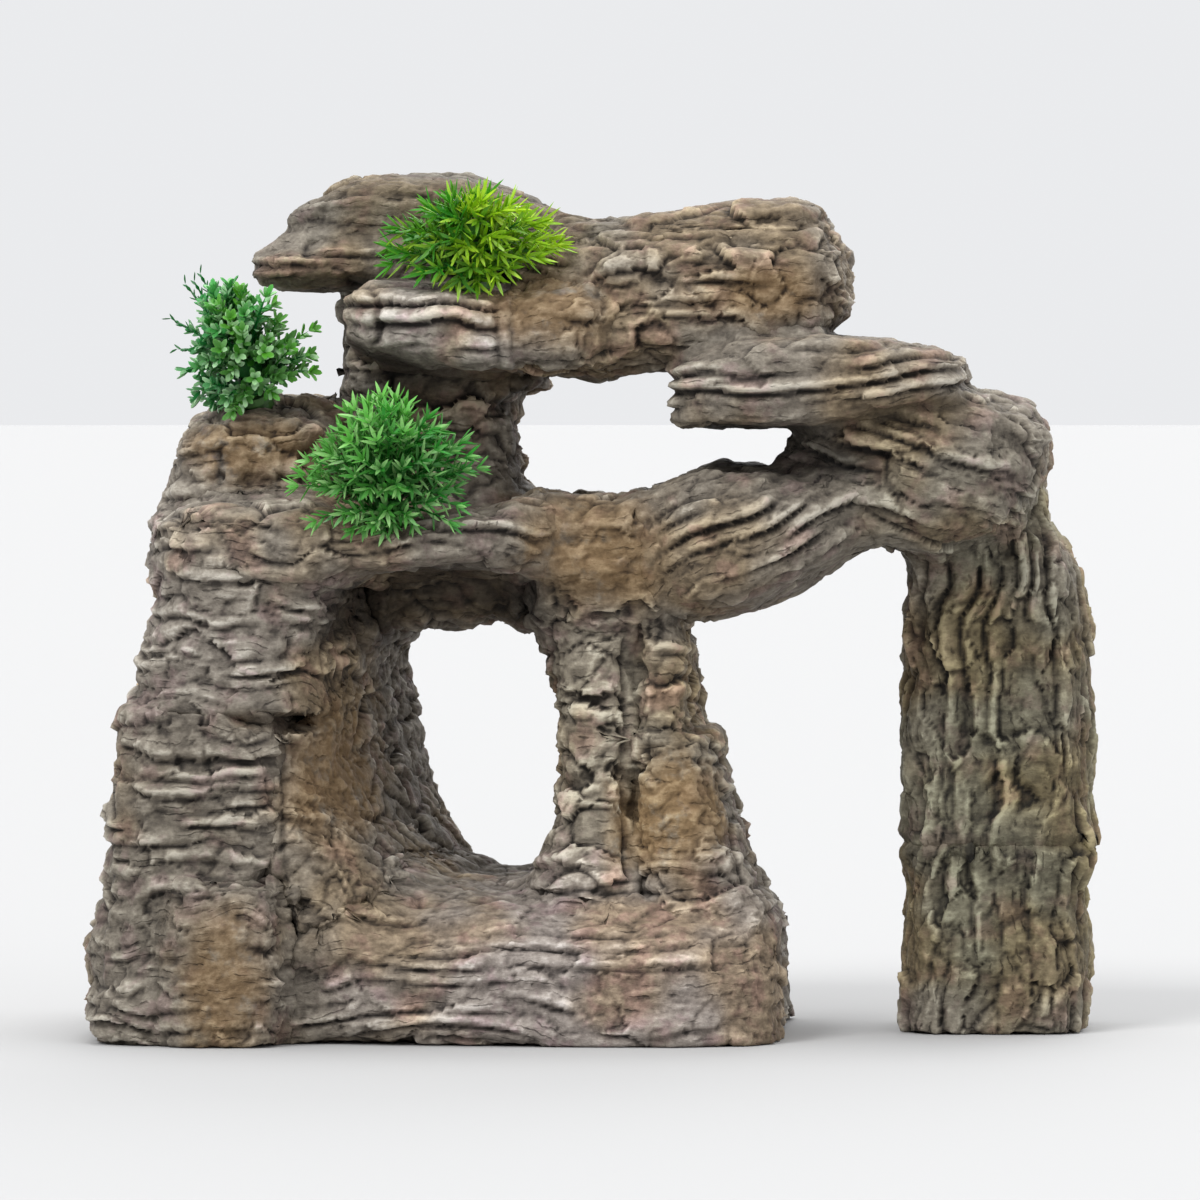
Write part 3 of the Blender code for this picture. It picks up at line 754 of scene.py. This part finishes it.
# The rings of leaves from the lowest up: the part of the tuft that each replaces, the least and
# most that its stalks lean out, and its share of the stalks.
WHORLS = (
    ("whorl_1", (1.15, 1.5), 0.38),
    ("whorl_2", (0.7, 1.15), 0.36),
    ("sprig", (0.0, 0.7), 0.26),
)

# A tuft's looks: its greens at the left and right, the paler green of some of its leaves and the
# share of those, how far its stalks reach to the left, right, front, back and up, how far the
# outer ones rise, how many there are, how long and wide their leaves are, in how many pairs, where
# a leaf is how wide, and the way, lean and length of the bare stalks.
NEEDLE = ((0.12, 0.55), (0.45, 1.0), (0.78, 0.6))
OVAL = ((0.22, 0.6), (0.55, 1.0), (0.85, 0.75))
TUFTS = {
    "crown_tuft": dict(left=(0.030, 0.25, 0.012), right=(0.36, 0.58, 0.010),
                       pale=(0.50, 0.75, 0.05), fresh=0.22, reach=(18, 18.5), front=11, back=8,
                       top=18.5, rise=8, stalks=92, leaf=(5.4, 0.8), pairs=4, shape=NEEDLE,
                       slot="bright_leaf"),
    "ledge_tuft": dict(left=(0.12, 0.44, 0.06), right=(0.025, 0.27, 0.025),
                       pale=(0.42, 0.72, 0.28), fresh=0.3, reach=(19, 18.5), front=12, back=11,
                       top=26, rise=8, stalks=112, leaf=(4.2, 0.85), pairs=5, shape=NEEDLE,
                       slot="dark_leaf"),
    "shoulder_tuft": dict(left=(0.03, 0.32, 0.07), right=(0.10, 0.36, 0.02),
                          pale=(0.60, 0.88, 0.55), fresh=0.3, reach=(14, 20), front=12, back=6.5,
                          top=25, rise=5, stalks=92, leaf=(3.1, 1.2), pairs=6, shape=OVAL,
                          slot="dark_leaf",
                          bare=((3.0, 0.50, 28), (3.5, 0.60, 24), (2.8, 0.36, 28),
                                (3.2, 0.26, 27), (3.3, 0.95, 21), (2.9, 1.25, 18))),
}


class Foliage:
    """Closed leaves and stalks, gathered into one mesh with a few numbers at each point."""

    def __init__(self):
        self.points, self.faces = [], []
        self.numbers = {"side": [], "lit": [], "tip": [], "fresh": []}

    def ring(self, points, tip, marks):
        first = len(self.points)
        self.points += points
        for name, values in self.numbers.items():
            values += [tip if name == "tip" else marks[name]] * len(points)
        return list(range(first, first + len(points)))

    def skin(self, rings):
        """Closes a run of rings, each of one point or of as many as its neighbours."""
        for lower, upper in zip(rings, rings[1:]):
            count = max(len(lower), len(upper))
            for i in range(count):
                j = (i + 1) % count
                if len(lower) == 1:
                    self.faces.append((lower[0], upper[j], upper[i]))
                elif len(upper) == 1:
                    self.faces.append((lower[i], lower[j], upper[0]))
                else:
                    self.faces.append((lower[i], lower[j], upper[j], upper[i]))

    def leaf(self, root, way, up, length, width, curl, shape, marks):
        """A leaf with a raised midrib, curling towards up along its length."""
        across = way.cross(up).normalized()
        up = across.cross(way).normalized()
        rings = [self.ring([root], 0.0, marks)]
        for share, wide in shape:
            centre = root + way * length * share + up * curl * length * share * share
            half = width * wide / 2
            rings.append(self.ring([
                centre + across * half + up * half * EDGE_RISE, centre + up * RIB_RISE * width,
                centre - across * half + up * half * EDGE_RISE, centre - up * KEEL * width,
            ], share, marks))
        rings.append(self.ring([root + way * length + up * curl * length], 1.0, marks))
        self.skin(rings)

    def stalk(self, path, radius, marks):
        """A thin stalk along a path, pointed at both ends."""
        rings = [self.ring([path[0]], 0.0, marks)]
        for i, place in enumerate(path[1:-1], 1):
            way = (path[i + 1] - path[i - 1]).normalized()
            across = way.orthogonal().normalized()
            other = way.cross(across)
            thin = radius * (1 - 0.5 * i / len(path))
            rings.append(self.ring([
                place + across * thin, place + other * thin,
                place - across * thin, place - other * thin,
            ], 0.0, marks))
        rings.append(self.ring([path[-1]], 0.0, marks))
        self.skin(rings)

    def hub(self, low, high, marks):
        """A ring that threads on the spindle."""
        rings = []
        edge = HUB_RADIUS - HUB_BEVEL
        profile = ((HUB_BORE, low), (HUB_BORE, high), (edge, high),
                   (HUB_RADIUS, high - HUB_BEVEL), (HUB_RADIUS, low + HUB_BEVEL), (edge, low))
        for step in range(HUB_SIDES):
            turn = math.tau * step / HUB_SIDES
            out = Vector((math.cos(turn), math.sin(turn), 0))
            rings.append(self.ring([out * r + Vector((0, 0, z)) for r, z in profile], 0.0, marks))
        self.skin(rings + rings[:1])

    def make(self, name, place, material):
        mesh = bpy.data.meshes.new(name)
        mesh.from_pydata([place @ (point * MM) for point in self.points], [], self.faces)
        for attribute, values in self.numbers.items():
            set_attribute(mesh, attribute, np.array(values))
        mesh.materials.append(material)
        piece = bpy.data.objects.new(name, mesh)
        scene.collection.objects.link(piece)
        return piece


def tuft_frame(name):
    """The tuft's own axes, with Z along its plug and its origin where the collar seats."""
    axis = next(Vector(j["axis"]) for j in frame["joints"] if j["child"] == name).normalized()
    corners = [v.co for v in frame["nodes"][name + "_stem"].data.vertices]
    middle = sum(corners, Vector()) / len(corners)
    top = max((co - middle).dot(axis) for co in corners)
    turn = axis.to_track_quat("Z", "Y").to_matrix().to_4x4()
    return Matrix.Translation(middle + axis * (top - SPINDLE * MM)) @ turn


def splay(way, turn, forward):
    """The way of a leaf that stands off a stalk, turned round it and bent forward along it."""
    turned = Matrix.Rotation(turn, 3, way)
    return (way * forward + turned @ way.orthogonal().normalized()).normalized()


def grow_stalk(foliage, style, rng, level, turn, lean):
    """One stalk out of a hub, with pairs of leaves along it and a rosette at its end."""
    out = Vector((math.cos(turn), math.sin(turn), 0))
    width = style["reach"][1 if out.x > 0 else 0]
    depth = style["front"] if out.y < 0 else style["back"]
    reach = math.hypot(out.x * width, out.y * depth) * (0.6 + 0.4 * rng.random())
    top = style["top"] * rng.uniform(0.8, 1.0)
    root = HUBS[level] + HUB_HEIGHT * rng.uniform(0.3, 0.8)
    base = out * (HUB_RADIUS - STALK_ROOT) + Vector((0, 0, root))
    leaf_length, leaf_width = style["leaf"]
    droop = max(0.0, -out.y) ** 2
    rise = style["rise"] * (0.5 + 0.5 * math.sin(lean)) * rng.uniform(0.4, 1.0) * (1 - 1.1 * droop)
    end = out * math.sin(lean) * reach + Vector((0, 0, rise + math.cos(lean) * (top - rise)))
    bend = base.lerp(end, 0.5) + Vector((0, 0, rng.uniform(0.5, 2.5)))
    bend += Vector((rng.uniform(-1, 1), rng.uniform(-1, 1), 0))
    steps = [i / STALK_PARTS for i in range(STALK_PARTS + 1)]
    path = [base.lerp(bend, t).lerp(bend.lerp(end, t), t) for t in steps]
    tint = rng.uniform(-0.2, 0.2)
    glow = rng.uniform(0.65, 1.0)

    def marks(place):
        """A leaf's colours, with painted shade: darker deep inside the tuft."""
        across = max(abs(place.x) / width, abs(place.y) / depth, place.z / style["top"])
        low = max(0.0, 1 - place.z / (0.75 * style["top"])) * max(0.0, 1 - abs(place.x) / width)
        side = 0.5 + 0.5 * place.x / width + tint
        # painted shade: outer leaves are lit, those low and near the middle are dark
        lit = glow * min(1, 0.1 + across ** 1.6 * 1.1) * (1 - 0.85 * low)
        pale = rng.random() < style["fresh"]
        return dict(side=min(1, max(0, side)), lit=lit,
                    fresh=rng.uniform(0.6, 1.0) if pale else rng.uniform(0.0, 0.25))

    foliage.stalk(path, STALK_RADIUS, dict(marks(base), fresh=0.0))
    spin = rng.uniform(0, math.tau)
    for pair in range(style["pairs"]):
        part = (0.3 + 0.65 * pair / style["pairs"]) * STALK_PARTS
        low = min(STALK_PARTS - 1, int(part))
        place = path[low].lerp(path[low + 1], part - low)
        way = (path[low + 1] - path[low]).normalized()
        for half in (0, math.pi):
            point = splay(way, spin + half + pair * PAIR_TURN, rng.uniform(0.5, 1.0))
            foliage.leaf(place, point, way, leaf_length * rng.uniform(0.65, 1.0), leaf_width,
                         rng.uniform(-0.1, 0.25), style["shape"], marks(place))
    way = (path[-1] - path[-2]).normalized()
    for blade in range(ROSETTE):
        point = splay(way, spin + math.tau * blade / ROSETTE, rng.uniform(0.8, 1.8))
        foliage.leaf(path[-1] - way * 0.3, point, way, leaf_length * rng.uniform(0.7, 1.0),
                     leaf_width, rng.uniform(-0.1, 0.2), style["shape"], marks(path[-1]))


def grow_bare_stalk(foliage, turn, lean, length):
    """A thin dark stalk that reaches past the leaves, with small buds at its end."""
    out = Vector((math.cos(turn), math.sin(turn), 0))
    base = out * (HUB_RADIUS - STALK_ROOT) + Vector((0, 0, HUBS[-1] + 1))
    end = (out * math.sin(lean) + Vector((0, 0, math.cos(lean)))) * length
    marks = dict(side=0.4, lit=0.0, fresh=0.0)
    path = [base.lerp(end, i / STALK_PARTS) for i in range(STALK_PARTS + 1)]
    foliage.stalk(path, BARE_RADIUS, marks)
    way = (end - base).normalized()
    for bud in range(BUDS):
        point = splay(way, bud * BUD_TURN, 1.3)
        foliage.leaf(end - way * (0.3 + 1.1 * bud), point, way, 1.9, 0.7, 0.1, NEEDLE, marks)


def make_tuft(name, style):
    """Fine foliage for each of a tuft's leaf rings, and a moulded look for its stem."""
    rng = random.Random(name)
    place = tuft_frame(name)
    material = leaf_material(name + "_leaves", style["left"], style["right"], style["pale"])
    for level, (node, (low, high), share) in enumerate(WHORLS):
        foliage = Foliage()
        # painted shade: the hub deep in the tuft is dark
        marks = dict(side=0.5, lit=0.15, fresh=0.0)
        foliage.hub(HUBS[level], HUBS[level] + HUB_HEIGHT, marks)
        count = round(style["stalks"] * share)
        for i in range(count):
            lean = low + (high - low) * math.sqrt((i + 0.5) / count)
            grow_stalk(foliage, style, rng, level, i * STALK_TURN + level, lean)
        if node == "sprig":
            for turn, lean, length in style.get("bare", ()):
                grow_bare_stalk(foliage, turn, lean, length)
        piece = foliage.make(f"{name}_{node}_leaves", place, material)
        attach(piece, name)
        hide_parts(f"{name}_{node}")
    stem = frame["nodes"][name + "_stem"]
    for slot in stem.material_slots:
        slot.material = stem_material()


# ---------------------------------------------------------------- stage

# In metres. The floor lies just under the ornament, so that the two don't share a face.
FLOOR_RADIUS, FLOOR_SIDES, FLOOR_LEVEL = 12, 64, -0.0002
FLOOR_GREY = 0.44

# The camera, in metres, at the photograph's viewing angle.
CAMERA_PLACE = (0.149, -1.874, 0.139)
CAMERA_TARGET = (0.001, 0.0, 0.0855)
CAMERA_END = 20  # how far it sees
LENS, SENSOR = 285, 36  # its focal length and sensor width, in mm

# Each light's name, the side that it comes from, how wide it is in degrees and how strong.
LIGHTS = (
    ("key", (-0.45, -0.75, 0.87), 22, 1.85),
    ("fill", (0.95, -0.8, 0.37), 45, 0.42),
    ("top", (0.1, 0.1, 1.0), 40, 1.7),
    ("back", (0.2, 1.0, 0.62), 40, 0.8),
)
SKY, SKY_STRENGTH = (0.97, 0.98, 1, 1), 0.85


def make_stage():
    """A wide, pale, flat floor."""
    turns = [math.tau * i / FLOOR_SIDES for i in range(FLOOR_SIDES)]
    rim = [(FLOOR_RADIUS * math.cos(turn), FLOOR_RADIUS * math.sin(turn), FLOOR_LEVEL)
           for turn in turns]
    mesh = bpy.data.meshes.new("floor")
    mesh.from_pydata(rim, [], [tuple(range(FLOOR_SIDES))])
    floor = bpy.data.objects.new("floor", mesh)
    scene.collection.objects.link(floor)
    material = bpy.data.materials.new("pale_floor")
    material.use_nodes = True
    shader = material.node_tree.nodes["Principled BSDF"]
    shader.inputs["Base Color"].default_value = (FLOOR_GREY, FLOOR_GREY, FLOOR_GREY, 1)
    shader.inputs["Roughness"].default_value = 0.9
    mesh.materials.append(material)


def soft_light(name, place, spread, strength):
    """Light from one side of the sky, which falls evenly on the whole floor."""
    light = bpy.data.lights.new(name, "SUN")
    light.angle = math.radians(spread)
    light.energy = strength
    lamp = bpy.data.objects.new(name, light)
    lamp.matrix_world = (Matrix.Translation(place)
                         @ Vector(place).to_track_quat("Z", "Y").to_matrix().to_4x4())
    scene.collection.objects.link(lamp)


def make_camera_and_lights():
    camera = bpy.data.cameras.new("camera")
    camera.sensor_width = SENSOR
    camera.lens = LENS
    camera.clip_end = CAMERA_END
    place, target = Vector(CAMERA_PLACE), Vector(CAMERA_TARGET)
    holder = bpy.data.objects.new("camera", camera)
    holder.matrix_world = (Matrix.Translation(place)
                           @ (target - place).to_track_quat("-Z", "Y").to_matrix().to_4x4())
    scene.collection.objects.link(holder)
    scene.camera = holder

    for light in LIGHTS:
        soft_light(*light)
    world = bpy.data.worlds.new("world")
    world.use_nodes = True
    world.node_tree.nodes["Background"].inputs["Color"].default_value = SKY
    world.node_tree.nodes["Background"].inputs["Strength"].default_value = SKY_STRENGTH
    scene.world = world
    scene.view_settings.view_transform = "Standard"


make_stage()
make_camera_and_lights()
paint = rock_material()
bonds = Bonds()
shade_tree = make_shade_tree()
for node, look in ROCKS.items():
    make_rock(node, look, paint, bonds, shade_tree)
for name, style in TUFTS.items():
    make_tuft(name, style)
